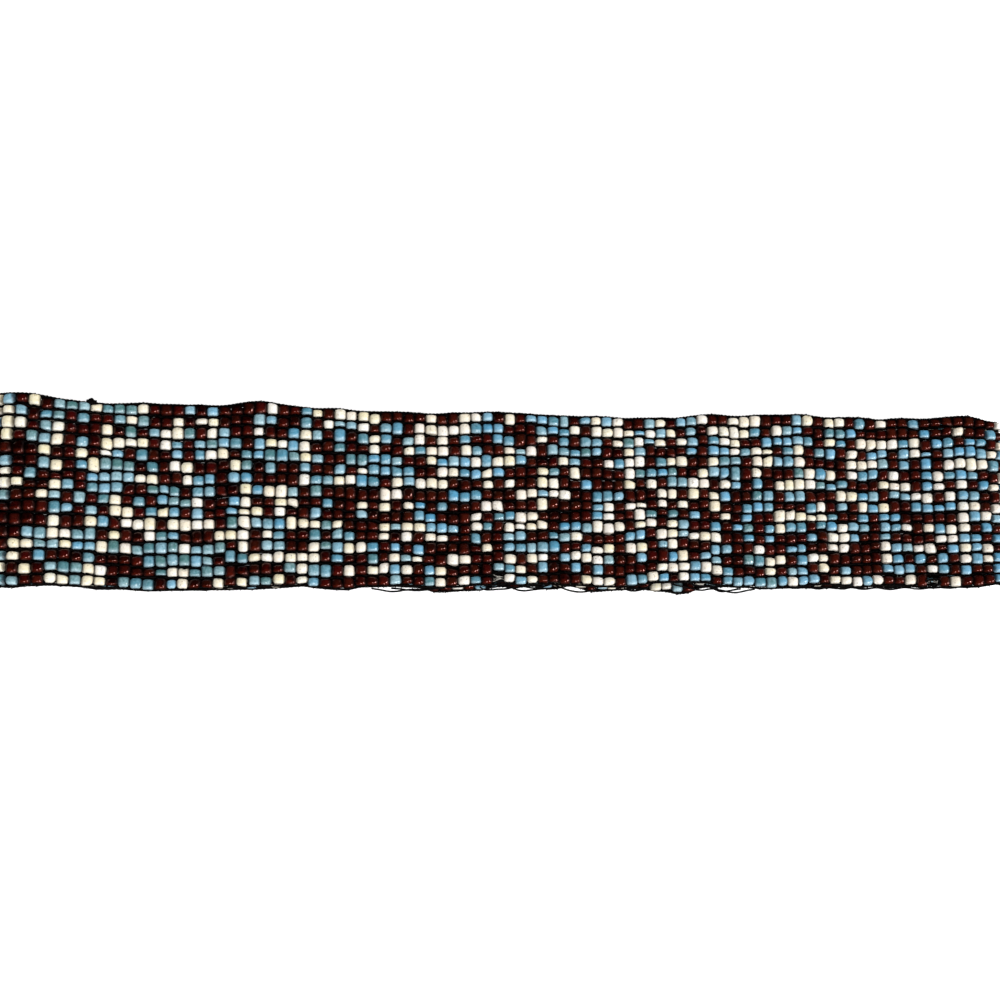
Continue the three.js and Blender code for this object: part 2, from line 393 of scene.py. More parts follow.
class Weave:
    """Where every bead and row line lies. Arrays are [row, column]."""

    def __init__(self, path):
        rng = np.random.default_rng(WEAVE_SEED)
        shape = (ROW_COUNT, COLUMN_COUNT)
        self.path = path
        even = (np.arange(COLUMN_COUNT) + 0.5) * path.length / COLUMN_COUNT
        wander = smooth_noise(rng, (1, COLUMN_COUNT), *COLUMN_WANDER)[0]
        steep = np.abs(path.along(even)) > SLOPE_FOOT
        self.freedom = np.where(steep, STEEP_FREEDOM, 1.0)
        self.column_place = even + wander * self.freedom
        self.row_lines = self.lay_row_lines(rng)

        upper, lower = self.row_lines[:-1], self.row_lines[1:]
        self.y = (upper + lower) / 2 + rng.uniform(-0.5, 0.5, shape) * BEAD_PLAY
        play = rng.uniform(0, 1, shape) * BEAD_PLAY
        self.length = np.maximum(upper - lower - BEAD_GAP - play, SHORTEST_BEAD)
        self.width = np.clip(rng.normal(BEAD_WIDTH, BEAD_WIDTH_SPREAD, shape), *BEAD_WIDTH_LIMITS)
        self.width[:, steep] = np.clip(self.width[:, steep], *STEEP_WIDTH_LIMITS)
        self.place = self.lay_columns(rng, shape)
        self.rise = np.clip(rng.normal(0, BEAD_RISE, shape), -RISE_LIMIT, RISE_LIMIT)
        ground = path.frontness(self.place) < GROUND_TURN
        room = (BEAD_DIAMETER - GROUND_SWELL * self.width) / 2 - GROUND_ROOM
        self.rise = np.where(ground, np.minimum(self.rise, room), self.rise)
        self.choose_beads(rng, shape)

    def lay_row_lines(self, rng):
        """Y of each row line at each column, from the upper edge to the lower."""
        upper, lower = band_edges(self.path, self.column_place)
        share = np.linspace(0, 1, ROW_COUNT + 1)[:, None]
        lines = (1 - share) * upper + share * lower
        shape = lines.shape
        jitter = np.full((ROW_COUNT + 1, 1), ROW_JITTER)
        jitter[[0, -1]] = EDGE_JITTER
        lines = lines + jitter * smooth_noise(rng, shape, *JITTER_WAVE)
        lines = lines + smooth_noise(rng, shape, *ROW_WAVE)
        ripple = smooth_noise(rng, (2, COLUMN_COUNT), *EDGE_RIPPLE)
        fade = EDGE_RIPPLE_FADE
        return lines + (1 - share) ** fade * ripple[0] + share**fade * ripple[1]

    def lay_columns(self, rng, shape):
        """Place of each bead round the loop."""
        bend = smooth_noise(rng, shape, *COLUMN_BEND)
        shift = BEAD_SHIFT * rng.normal(size=shape)
        along, front = self.path.along(self.column_place), self.path.frontness(self.column_place)
        middle, more = FRONT_LEAN
        lean = (middle + more * along) * front * self.y / HALF_WIDTH
        place = self.column_place + (bend + shift) * self.freedom - lean
        first, last = PARTING["rows"]
        away = self.column_place - self.path.front_place(PARTING["along"])
        fade = np.exp(-np.abs(away) / (PARTING["fade_columns"] * COLUMN_PITCH))
        side = np.where(away > 0, 1, -1)
        place[first:last] += side * fade * PARTING["width"] / 2 * front
        return part_neighbours(place, self.width, self.path.length)

    def choose_beads(self, rng, shape):
        """Colour, form and tones of each bead."""
        mixed = rng.choice(len(BEAD_COLOURS), size=shape, p=COLOUR_SHARES)
        alike = rng.uniform(size=shape) < COLOUR_RUN
        self.colour = np.where(alike, np.roll(mixed, 1, axis=1), mixed)
        shares = [form["share"] for form in BEAD_FORMS]
        self.form = rng.choice(len(BEAD_FORMS), size=shape, p=shares)
        self.turned = rng.choice([-1.0, 1.0], size=shape)
        along = self.path.along(self.place) * self.path.frontness(self.place)
        self.tone = np.clip(rng.uniform(0, 1, shape) + TONE_ALONG * along, 0, 1)
        drift = smooth_noise(rng, shape, *CAST_DRIFT)
        cast = CAST_SPREAD * rng.normal(size=shape) + drift + CAST_ALONG * along
        self.cast = np.clip(0.5 + cast, 0, 1)

        self.present = np.ones(shape, bool)
        self.gap = (MISSING_BEAD["row"], self.nearest_column(MISSING_BEAD["along"]))
        self.snag = (SNAG["row"], self.nearest_column(SNAG["along"]))
        self.present[self.gap] = False
        self.present[self.snag] = False

    def nearest_column(self, along):
        """The column of the front that is nearest to a share of the half length."""
        return int(np.argmin(np.abs(self.column_place - self.path.front_place(along))))

    def hole_ways(self):
        """The way each bead's hole runs: along its column."""
        lean = np.gradient(self.place, axis=0) / np.gradient(self.y, axis=0)
        way = self.path.tangent(self.place) * lean[..., None]
        way[..., 1] += 1
        return way * self.turned[..., None] / np.linalg.norm(way, axis=-1, keepdims=True)


def mesh_of_points(name, points, links=(), **attributes):
    """A mesh of bare points, given in mm, with optional links and named values."""
    mesh = bpy.data.meshes.new(name)
    mesh.from_pydata([tuple(p) for p in np.asarray(points) * MM], links, [])
    for label, values in attributes.items():
        kind = "INT" if values.dtype.kind == "i" else "FLOAT"
        kind, field = ("FLOAT_VECTOR", "vector") if values.ndim == 2 else (kind, "value")
        layer = mesh.attributes.new(label, kind, "POINT")
        layer.data.foreach_set(field, np.ascontiguousarray(values).ravel())
    return mesh


def link_object(name, data):
    obj = bpy.data.objects.new(name, data)
    bpy.context.scene.collection.objects.link(obj)
    return obj


class Nodes:
    """Adds nodes and links to a node tree."""

    def __init__(self, tree):
        self.tree = tree

    def node(self, kind, settings=None, **sockets):
        """A node with its settings, its inputs fed by their names."""
        made = self.tree.nodes.new(kind)
        for key, value in (settings or {}).items():
            setattr(made, key, value)
        for label, value in sockets.items():
            self.feed(self.socket(made, label), value)
        return made

    @staticmethod
    def socket(node, label):
        """An input by its name, with _ for a space."""
        wanted = label.replace("_", " ").lower()
        return next(s for s in node.inputs if s.name.lower() == wanted and s.enabled)

    def feed(self, socket, value):
        """Links an output, or a node's first one, to an input, or sets it to a value."""
        if isinstance(value, bpy.types.Node):
            value = value.outputs[0]
        if isinstance(value, bpy.types.NodeSocket):
            self.tree.links.new(value, socket)
        else:
            socket.default_value = value

    def step(self, kind, settings, *values):
        """A node with its inputs fed in their order. Gives its first output."""
        made = self.node(kind, settings)
        for socket, value in zip([s for s in made.inputs if s.enabled], values):
            self.feed(socket, value)
        return next(s for s in made.outputs if s.enabled)

    def math(self, operation, *values):
        return self.step("ShaderNodeMath", {"operation": operation}, *values)

    def vector(self, operation, *values):
        return self.step("ShaderNodeVectorMath", {"operation": operation}, *values)

    def mix(self, share, first, second):
        """A colour between two others."""
        return self.step("ShaderNodeMix", {"data_type": "RGBA"}, share, first, second)

    def attribute(self, name, output="Fac"):
        return self.node("ShaderNodeAttribute", {"attribute_name": name}).outputs[output]

    def noise(self, scale, detail, roughness=0.5):
        """Soft random values over the object, from 0 to 1."""
        place = self.node("ShaderNodeTexCoord").outputs["Object"]
        return self.node(
            "ShaderNodeTexNoise", vector=place, scale=scale, detail=detail, roughness=roughness,
        ).outputs[0]

    def ramp(self, value, start, end, kind="SMOOTHSTEP"):
        """0 up to the start and 1 from the end on."""
        return self.step("ShaderNodeMapRange", {"interpolation_type": kind}, value, start, end)


class NodeGroup(Nodes):
    """A node group in the making. Its inputs and outputs are given as name: kind."""

    def __init__(self, name, kind, inputs, outputs):
        super().__init__(bpy.data.node_groups.new(name, kind))
        for way, sockets in (("INPUT", inputs), ("OUTPUT", outputs)):
            for label, socket in sockets.items():
                self.tree.interface.new_socket(label, in_out=way, socket_type=f"NodeSocket{socket}")
        self.inputs = self.tree.nodes.new("NodeGroupInput").outputs
        self.outputs = self.tree.nodes.new("NodeGroupOutput").inputs

    def finish(self, *values):
        """Feeds the outputs in their order and gives the tree."""
        for socket, value in zip(self.outputs, values):
            self.feed(socket, value)
        return self.tree

    def finish_piece(self, geometry, material):
        """Ends a Geometry Nodes tree with smooth shading and the material."""
        smooth = self.node("GeometryNodeSetShadeSmooth", geometry=geometry)
        return self.finish(self.node("GeometryNodeSetMaterial", geometry=smooth, material=material))


def run_tree(obj, tree, **values):
    """Evaluates a Geometry Nodes tree on an object and keeps the result as its plain mesh."""
    modifier = obj.modifiers.new(tree.name, "NODES")
    modifier.node_group = tree
    for item in tree.interface.items_tree:
        label = item.name.lower().replace(" ", "_")
        if item.in_out == "INPUT" and label in values:
            modifier[item.identifier] = values[label]
    obj.update_tag()
    graph = bpy.context.evaluated_depsgraph_get()
    mesh = bpy.data.meshes.new_from_object(obj.evaluated_get(graph), depsgraph=graph)
    obj.modifiers.remove(modifier)
    bare = obj.data
    mesh.name = obj.name
    obj.data = mesh
    bpy.data.meshes.remove(bare)


def bead_form(name, form):
    """One bead of size one, its hole along Y: a lathed wall that closes on itself."""
    half = 0.5
    corner, wide = form["corner"], half + form["belly"]
    flat = half - corner
    bevel = half - corner * (1 - cos(pi / 4))
    wall = [(HOLE_SHARE, half - HOLE_DISH), (flat, half), (bevel, bevel), (wide, flat)]
    profile = wall + [(radius, -y) for radius, y in reversed(wall)]
    shell = bmesh.new()
    rings = []
    for radius, y in profile:
        ring = []
        for side in range(BEAD_SIDES):
            angle = 2 * pi * side / BEAD_SIDES
            reach = radius * (1 + form["taper"] * y)
            x, z = reach * cos(angle), reach * sin(angle)
            tilt = form["slant"] * x * max(y, 0) / half
            ring.append(shell.verts.new((x + form["skew"] * y, y + tilt, z)))
        rings.append(ring)
    for ring, beyond in zip(rings, rings[1:] + rings[:1]):
        for side in range(BEAD_SIDES):
            other = (side + 1) % BEAD_SIDES
            shell.faces.new((ring[side], ring[other], beyond[other], beyond[side]))
    bmesh.ops.recalc_face_normals(shell, faces=shell.faces)
    mesh = bpy.data.meshes.new(name)
    shell.to_mesh(mesh)
    shell.free()
    return bpy.data.objects.new(name, mesh)


def bead_weave_tree():
    """Geometry Nodes: puts a bead on each point, turned along its hole and its layer."""
    add = NodeGroup("bead_weave", "GeometryNodeTree", {
        "Points": "Geometry", "Bead Forms": "Collection", "Tilt": "Float", "Seed": "Int",
        "Glass": "Material",
    }, {"Beads": "Geometry"})
    give = add.inputs

    def stored(name, kind="FLOAT_VECTOR"):
        return add.node("GeometryNodeInputNamedAttribute", {"data_type": kind}, name=name)

    forms = add.node(
        "GeometryNodeCollectionInfo", collection=give["Bead Forms"], separate_children=True,
        reset_children=True)
    align = "FunctionNodeAlignRotationToVector"
    turned = add.node(align, {"axis": "Y"}, vector=stored("hole_way"))
    turned = add.node(align, {"axis": "Z", "pivot_axis": "Y"}, rotation=turned, vector=stored("face_way"))
    least, most = (add.vector("SCALE", (way, 0.0, way), give["Tilt"]) for way in (-1.0, 1.0))
    tilt = add.node("FunctionNodeRandomValue", {"data_type": "FLOAT_VECTOR"}, min=least,
                    max=most, seed=add.math("ADD", give["Seed"], 1))
    spin = add.node(
        "FunctionNodeRandomValue", {"data_type": "FLOAT"}, min=0.0, max=2 * pi, seed=give["Seed"])
    for turn in (tilt, add.node("ShaderNodeCombineXYZ", y=spin.outputs[1])):
        turned = add.step("FunctionNodeRotateRotation", {"rotation_space": "LOCAL"}, turned, turn)
    placed = add.node(
        "GeometryNodeInstanceOnPoints", points=give["Points"], instance=forms, pick_instance=True,
        instance_index=stored("bead_form", "INT"), rotation=turned, scale=stored("bead_size"))
    real = add.node("GeometryNodeRealizeInstances", geometry=placed)
    away = add.vector("SUBTRACT", add.node("GeometryNodeInputPosition"), stored("bead_centre"))
    ways = (stored("row_way"), (0.0, 1.0, 0.0), stored("face_way"))
    spot = add.step("ShaderNodeCombineXYZ", {}, *[add.vector("DOT_PRODUCT", away, way) for way in ways])
    half_size = add.vector("SCALE", stored("bead_size"), 0.5)
    marked = add.node(
        "GeometryNodeStoreNamedAttribute", {"data_type": "FLOAT_VECTOR", "domain": "POINT"},
        geometry=real, name="bead_spot", value=add.vector("DIVIDE", spot, half_size))
    for name in ("hole_way", "row_way", "face_way", "bead_size", "bead_centre", "bead_form"):
        marked = add.node("GeometryNodeRemoveAttribute", geometry=marked, name=name)
    return add.finish_piece(marked, give["Glass"])


def bead_piece(name, weave, chosen, tree, forms, glass, seed):
    """All beads of one colour in one layer, as one piece."""
    size = np.stack([weave.width, weave.length, weave.width], -1) * MM
    centres = weave.path.at(weave.place, weave.y, weave.rise)[chosen] + MODEL_SHIFT
    points = mesh_of_points(
        name, centres, bead_centre=centres * MM, hole_way=weave.hole_ways()[chosen],
        row_way=weave.path.tangent(weave.place)[chosen],
        face_way=weave.path.outward(weave.place)[chosen], bead_size=size[chosen],
        bead_form=weave.form[chosen].astype(np.int32), bead_tone=weave.tone[chosen],
        bead_cast=weave.cast[chosen])
    piece = link_object(name, points)
    run_tree(piece, tree, bead_forms=forms, tilt=BEAD_TILT, seed=seed, glass=glass)
    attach(piece, "root")
    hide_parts("bead_band")


def make_beads(weave, glasses):
    """The beads, a piece for each colour in each layer."""
    tree, forms = bead_weave_tree(), bpy.data.collections.new("bead_forms")
    for number, form in enumerate(BEAD_FORMS):  # numbered, as they are picked by name order
        forms.objects.link(bead_form(f"form_{number}_{form['name']}", form))
    upper = weave.path.frontness(weave.place) > 0.5
    for number, colour in enumerate(BEAD_COLOURS):
        for layer, inside in (("upper", upper), ("lower", ~upper)):
            chosen = (weave.colour == number) & inside & weave.present
            name = f"{colour}_beads_{layer}"
            bead_piece(name, weave, chosen, tree, forms, glasses[colour], seed=10 * number)
    for form in list(forms.objects):
        bpy.data.objects.remove(form)
    bpy.data.collections.remove(forms)


def thread_tree():
    """Geometry Nodes: a thread along the given lines, of one strand or of more that twist."""
    add = NodeGroup("twisted_thread", "GeometryNodeTree", {
        "Lines": "Geometry", "Strand Diameter": "Float", "Strands": "Int",
        "Twist Radius": "Float", "Lay": "Float", "Sides": "Int", "Nylon": "Material",
    }, {"Thread": "Geometry"})
    give = add.inputs
    curve = add.node("GeometryNodeMeshToCurve", mesh=give["Lines"])
    copies = add.node(
        "GeometryNodeDuplicateElements", {"domain": "SPLINE"}, geometry=curve, amount=give["Strands"])
    spline = add.node("GeometryNodeSplineParameter").outputs
    turns = add.math("DIVIDE", add.node("GeometryNodeSplineLength"), give["Lay"])
    turned = add.math("MULTIPLY", add.math("ROUND", turns), spline["Factor"])
    start = add.math("DIVIDE", copies.outputs["Duplicate Index"], give["Strands"])
    angle = add.math("MULTIPLY", add.math("ADD", turned, start), 2 * pi)
    normal = add.node("GeometryNodeInputNormal")
    across = add.vector("CROSS_PRODUCT", normal, add.node("GeometryNodeInputTangent"))
    aside = add.vector("SCALE", normal, add.math("COSINE", angle))
    above = add.vector("SCALE", across, add.math("SINE", angle))
    offset = add.vector("SCALE", add.vector("ADD", aside, above), give["Twist Radius"])
    laid = add.node("GeometryNodeSetPosition", geometry=copies, offset=offset)
    marked = add.node(
        "GeometryNodeStoreNamedAttribute", {"data_type": "FLOAT", "domain": "POINT"},
        geometry=laid, name="thread_length", value=spline["Length"])
    radius = add.math("MULTIPLY", give["Strand Diameter"], 0.5)
    section = add.node("GeometryNodeCurvePrimitiveCircle", resolution=give["Sides"], radius=radius)
    tube = add.node("GeometryNodeCurveToMesh", curve=marked, profile_curve=section, fill_caps=True)
    real = add.node("GeometryNodeRealizeInstances", geometry=tube)
    return add.finish_piece(real, give["Nylon"])


def thread_piece(
        name, lines, spool, diameter, sides, closed=True, strands=1, twist=0.0, stands_for=None):
    """A piece of thread along lines of points, in mm. A spool is a tree and a material."""
    tree, nylon = spool
    points, links = [], []
    for line in lines:
        first = len(points)
        points.extend(line)
        links.extend((first + i, first + i + 1) for i in range(len(line) - 1))
        if closed:
            links.append((len(points) - 1, first))
    piece = link_object(name, mesh_of_points(name, np.array(points) + MODEL_SHIFT, links))
    run_tree(piece, tree, strand_diameter=diameter * MM, strands=strands, twist_radius=twist * MM,
             lay=THREAD_LAY * MM, sides=sides, nylon=nylon)
    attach(piece, "root")
    if stands_for:
        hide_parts(stands_for)


def row_line(weave, line):
    """Places and Y of a row line, at each column and between two columns."""
    place = np.sort((weave.place[min(line, ROW_COUNT - 1)] + weave.place[max(line - 1, 0)]) / 2)
    y = weave.row_lines[line]
    middle = (place + np.append(place[1:], place[0] + weave.path.length)) / 2
    middle_y = (y + np.roll(y, -1)) / 2
    return np.stack([place, middle], 1).ravel(), np.stack([y, middle_y], 1).ravel()


def make_warps(weave, spool):
    """The three threads between each two rows and inside each edge, all the way round."""
    lines = []
    for line in range(ROW_COUNT + 1):
        place, y = row_line(weave, line)
        inward = {0: -EDGE_WARP_IN, ROW_COUNT: EDGE_WARP_IN}.get(line, 0.0)
        for aside, rise in WARP_LAY:
            lines.append(weave.path.at(place, y + inward + aside, rise))
    thread_piece("warp_threads", lines, spool, WARP_DIAMETER, sides=5)


def edge_route(weave, upper):
    """Places and Y of the selvedge thread's centre, at even steps and smooth."""
    place, y = row_line(weave, 0 if upper else ROW_COUNT)
    steps = int(weave.path.length / EDGE_STEP)
    fine = np.arange(steps) * weave.path.length / steps
    fine_y = np.interp(fine, place, y, period=weave.path.length)
    window = np.hanning(int(EDGE_EASE_COLUMNS * COLUMN_PITCH / EDGE_STEP) + 2)
    padded = np.concatenate([fine_y[-len(window):], fine_y, fine_y[: len(window)]])
    smooth = np.convolve(padded, window / window.sum(), mode="same")[len(window):-len(window)]
    return fine, smooth + (EDGE_THREAD_OUT if upper else -EDGE_THREAD_OUT)


def make_edge_threads(weave, spool):
    """The two selvedge threads, each of two strands that twist."""
    for edge, whole in (("upper", EDGE_THREAD_DIAMETER), ("lower", LOWER_EDGE_DIAMETER)):
        line = weave.path.at(*edge_route(weave, edge == "upper"))
        strand = whole * EDGE_STRAND_SHARE
        thread_piece(f"{edge}_edge_twist", [line], spool, strand, sides=6, strands=2,
                     twist=(whole - strand) / 2, stands_for=f"{edge}_edge_thread")


def weft_pass(weave, column, side):
    """One pass of the weft through a column, upper edge first. side 1 crosses over the warps."""
    place, y = weave.place[:, column], weave.y[:, column]
    lines = weave.row_lines[1:-1, column]
    points = np.empty((len(place) + len(lines), 3))
    points[0::2] = weave.path.at(place, y, weave.rise[:, column] + side * WEFT_SPREAD)
    points[1::2] = weave.path.at((place[1:] + place[:-1]) / 2, lines, side * WEFT_HUMP)
    return points


def edge_turn(weave, column, upper):
    """The points where the weft turns round a selvedge thread."""
    row, line, side = (0, 0, 1) if upper else (ROW_COUNT - 1, ROW_COUNT, -1)
    out = EDGE_THREAD_OUT + EDGE_THREAD_DIAMETER / 2 - WEFT_SINK
    y = weave.row_lines[line, column] + side * out * np.array([0.4, 1.0, 0.4])
    rise = np.array([-1, 0, 1]) * (EDGE_THREAD_DIAMETER + WEFT_DIAMETER) / 2
    return weave.path.at(np.full(3, weave.place[row, column]), y, rise)


def make_weft(weave, spool):
    """One thread through all the columns: up under the warps, round the edge, back over."""
    line = []
    for column in range(COLUMN_COUNT):
        line.extend(weft_pass(weave, column, -1)[::-1])
        line.extend(edge_turn(weave, column, True))
        line.extend(weft_pass(weave, column, 1))
        line.extend(edge_turn(weave, column, False)[::-1])
    thread_piece("weft_thread", [np.array(line)], spool, WEFT_DIAMETER, sides=5)


def overhand_knot(width):
    """The closed line of an overhand knot."""
    angle = np.linspace(0, 2 * pi, 48, endpoint=False)
    ring = 2 + np.cos(3 * angle)
    knot = np.stack([ring * np.cos(2 * angle), ring * np.sin(2 * angle), np.sin(3 * angle)], 1)
    return knot * width / 6  # the curve by itself is six wide


def make_tie_knot(weave, spool):
    """The overhand knot on the upper edge, the turns that bind it, and its two cut ends."""
    path = weave.path
    foot, top = path.front_place(-SLOPE_FOOT), path.front_place(-1)
    place = np.array(foot + KNOT_PLACE * (top - foot))
    way, outward = path.tangent(place), path.outward(place)
    routed, edge = edge_route(weave, True)
    low, high = (np.array(corner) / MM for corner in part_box("tie_knot"))
    centre = (low + high) / 2 - MODEL_SHIFT
    centre[1] = np.interp(place, routed, edge) + KNOT_OUT
    rng = np.random.default_rng(WEAVE_SEED + 5)
    uneven = 1 + KNOT_UNEVEN * rng.normal(size=(1, 3))
    knot = overhand_knot(high[0] - low[0] - KNOT_STRAND_DIAMETER) * uneven
    body = centre + knot @ np.stack([way, (0.0, 1.0, 0.0), outward])
    thread = KNOT_STRAND_DIAMETER
    thread_piece("tie_knot_thread", [body], spool, thread, sides=8, stands_for="tie_knot")

    turn = np.linspace(0, BINDING_TURNS * 2 * pi, BINDING_TURNS * 12)
    bound = place + np.linspace(-0.5, 0.5, len(turn)) * BINDING_LENGTH
    reach = (EDGE_THREAD_DIAMETER + thread) / 2
    y = np.interp(bound, routed, edge) + BINDING_OUT + reach * np.cos(turn)
    lines = [path.at(bound, y, reach * np.sin(turn))]
    share = np.linspace(0, 1, 7)[:, None]
    for side, lift in KNOT_END_LIFTS:
        start = centre + np.array([0.3 * side, -0.2, 0.0])
        end = way * side * KNOT_END + np.array([0.0, 0.5, 0.0]) + outward * lift
        sag = 0.25 * np.sin(share * 3) * np.array([0.0, -1.0, 0.3])
        lines.append(start + share * end + sag)
    thread_piece("tie_knot_binding", lines, spool, thread, sides=6, closed=False)


def hanging_strand(weave, rng, start, end, drop, waves):
    """A loose strand outside the lower edge of the front, caught in the edge at both ends."""
    share = np.linspace(0, 1, 60)
    place = weave.path.front_place(start + share * (end - start))
    _, lower = band_edges(weave.path, place)
    arch = np.sin(pi * share) ** 0.6
    swing = STRAND_SWING * np.sin(share * waves * pi + rng.uniform(0, 6))
    caught, more = STRAND_SINK
    return weave.path.at(place, lower - STRAND_OUT - arch * (drop + swing), -caught - more * arch)


def snag_loop(weave, spread, rng):
    """A loop of loose thread that wanders round the snag, and lies over the beads."""
    place, y = weave.place[weave.snag], weave.y[weave.snag]
    angle = np.linspace(0, rng.uniform(1.2, 1.9) * pi, 26) + rng.uniform(0, 6)
    wander = spread * (1 + 0.25 * np.sin(3 * angle + rng.uniform(0, 6)))
    x = place + wander * np.cos(angle) + rng.normal(0, 0.4)
    y = y + 0.5 * wander * np.sin(angle) + rng.normal(0, 0.25) - 0.5
    return weave.path.at(x, y, 1.25 + 0.4 * np.sin(2 * angle))


def make_loose_strands(weave, spool):
    """Bare strands along the lower edge, at the snag and across the place of the missing bead."""
    rng = np.random.default_rng(WEAVE_SEED + 9)
    lines = [hanging_strand(weave, rng, **strand) for strand in HANGING_STRANDS]
    lines += [snag_loop(weave, SNAG_SPREAD, rng) for _ in range(5)]
    share = np.linspace(-1, 1, 12)
    place = weave.place[weave.gap] + share * 0.75 * COLUMN_PITCH
    for across, rise in BARE_THREADS:
        y = weave.y[weave.gap] + across + 0.25 * share
        lines.append(weave.path.at(place, y, rise - 0.6 * share**2))
    thread_piece("loose_strands", lines, spool, LOOSE_DIAMETER, sides=6, closed=False)


def make_frayed_fibres(weave, spool):
    """Fibres at the snag, and nearly straight ones where the bead is missing: frayed, and pale partly as
    a painted glint.
    """
    rng = np.random.default_rng(WEAVE_SEED + 11)
    share = np.linspace(-1, 1, 16)
    place = weave.place[weave.gap] + 1.6 * share
    lines = []
    for level in np.linspace(-1, 1, FIBRE_COUNT):
        spread = level * (0.5 + 0.4 * share) + 0.1 * np.sin(3 * share + 4 * level)
        y = weave.y[weave.gap] + spread + rng.normal(0, 0.1)
        lines.append(weave.path.at(place, y, 1.1 - 0.5 * share**2))
    lines += [snag_loop(weave, spread, rng) for spread in FIBRE_SPREADS]
    thread_piece("frayed_fibres", lines, spool, FIBRE_DIAMETER, sides=5, closed=False)


def linear(red, green, blue):
    """A colour of 0 to 255 as it is seen, for a shader."""
    seen = [c / 255 for c in (red, green, blue)]
    return tuple(c / 12.92 if c <= 0.04045 else ((c + 0.055) / 1.055) ** 2.4 for c in seen) + (1.0,)


def bead_tone_group():
    """Shader group: the colour of a bead, from its own tone and cast and a soft mottle."""
    add = NodeGroup("bead_tone", "ShaderNodeTree", {
        "Deep": "Color", "Pale": "Color", "Cast": "Color", "Cast Amount": "Float",
        "Mottle": "Float",
    }, {"Color": "Color"})
    give = add.inputs
    clouds = add.math("SUBTRACT", add.noise(MOTTLE_SCALE, 3.0, 0.6), 0.5)
    share = add.math("MULTIPLY_ADD", clouds, give["Mottle"], add.attribute("bead_tone"))
    body = add.mix(share, give["Deep"], give["Pale"])
    strength = add.math("MULTIPLY", add.attribute("bead_cast"), give["Cast Amount"])
    return add.finish(add.mix(strength, body, give["Cast"]))


def glass_flaw_group():
    """Shader group: pits and dark specks of pressed glass, and their height."""
    add = NodeGroup("glass_flaws", "ShaderNodeTree", {
        "Color": "Color", "Speck Color": "Color", "Speck Share": "Float",
    }, {"Color": "Color", "Height": "Float"})
    give = add.inputs
    specks = add.ramp(add.noise(SPECK_SCALE, 2.0, 0.7), *SPECK_LEVELS, kind="LINEAR")
    amount = add.math("MULTIPLY", specks, give["Speck Share"])
    marked = add.mix(amount, give["Color"], give["Speck Color"])
    ripple = add.noise(RIPPLE_SCALE, 2.0)
    return add.finish(marked, add.math("MULTIPLY_ADD", amount, -SPECK_DEPTH, ripple))


def bead_shading_group():
    """Shader group: painted shade on the rim of a bead, where it meets its neighbours, which is also
    made duller there, and a painted highlight on its lip on the side of the belt's lower edge."""
    add = NodeGroup("bead_rim", "ShaderNodeTree", {
        "Color": "Color", "Rim Color": "Color", "Rim": "Float", "Rim Start": "Float",
        "Lip Color": "Color", "Lip": "Float", "Roughness": "Float",
    }, {"Color": "Color", "Roughness": "Float"})
    give = add.inputs
    spot = add.node("ShaderNodeSeparateXYZ", vector=add.attribute("bead_spot", "Vector"))
    row_side, hole_side, _ = spot.outputs
    # The rim's painted shade: dark at the bead's outline, towards its neighbours in the row and in its
    # column.
    side = add.ramp(add.math("ABSOLUTE", row_side), give["Rim Start"], RIM_SIDE_END)
    later = add.math("ADD", give["Rim Start"], RIM_HOLE_LATER)
    end = add.ramp(add.math("ABSOLUTE", hole_side), later, RIM_HOLE_END)
    rim = add.math("MULTIPLY", add.math("MAXIMUM", side, end), give["Rim"])
    # The lip's painted highlight: paler towards the bead's lower end, where the near lights fall.
    uneven = add.math("SUBTRACT", add.noise(RIPPLE_SCALE, 1.0), 0.5)
    lip = add.ramp(add.math("MULTIPLY_ADD", uneven, LIP_WOBBLE, hole_side), *LIP_SPAN)
    paler = add.mix(add.math("MULTIPLY", lip, give["Lip"]), give["Color"], give["Lip Color"])
    duller = add.math("SUBTRACT", RIM_ROUGHNESS, give["Roughness"])
    roughness = add.math("MULTIPLY_ADD", rim, duller, give["Roughness"])
    return add.finish(add.mix(rim, paler, give["Rim Color"]), roughness)


class Material(Nodes):
    """A material with one Principled BSDF, its surface."""

    def __init__(self, name, **constants):
        self.material = bpy.data.materials.new(name)
        self.material.use_nodes = True
        super().__init__(self.material.node_tree)
        self.set(**constants)

    def set(self, **values):
        """Sets or links inputs of the surface."""
        for label, value in values.items():
            self.feed(self.socket(self.tree.nodes["Principled BSDF"], label), value)

    def group(self, tree, values):
        """Places a node group, its inputs fed with the values that have their names."""
        made = self.node("ShaderNodeGroup", {"node_tree": tree})
        for socket in made.inputs:
            self.feed(socket, values[socket.name.lower().replace(" ", "_")])
        return made.outputs

    def bump(self, height, strength, distance):
        self.set(normal=self.node(
            "ShaderNodeBump", strength=strength, distance=distance, height=height))


# The glass of each colour of BEAD_COLOURS, in that order. Colours are as seen, 0 to 255.
GLASS_TABLE = {
    "deep": ((10, 1, 1), (72, 114, 114), (227, 217, 180)),
    "pale": ((59, 8, 7), (147, 180, 190), (238, 236, 231)),
    "cast": ((65, 24, 12), (84, 160, 204), (232, 219, 208)),
    "cast_amount": (0.55, 0.68, 0.6),
    "mottle": (1.4, 1.8, 1.7),
    "speck_color": ((8, 1, 1), (40, 76, 86), (128, 112, 90)),
    "speck_share": (0.5, 0.6, 0.8),
    # rim: painted shade on each bead's outline, where it meets its neighbours
    "rim_color": ((3, 0, 0), (10, 26, 38), (84, 72, 58)),
    "rim": (0.95, 0.88, 0.8),
    "rim_start": (0.26, 0.58, 0.62),
    # lip: painted highlight on each bead's lower end; on the oxblood, a painted red glow
    "lip_color": ((124, 36, 16), (212, 238, 248), (246, 243, 236)),
    "lip": (0.36, 0.42, 0.4),
    "roughness": (0.09, 0.2, 0.3),
    "ripple": (0.2, 0.7, 0.5),
    "ior": (1.6, 1.52, 1.52),
    "glint": ((255, 182, 172), (255, 255, 255), (255, 255, 255)),
}


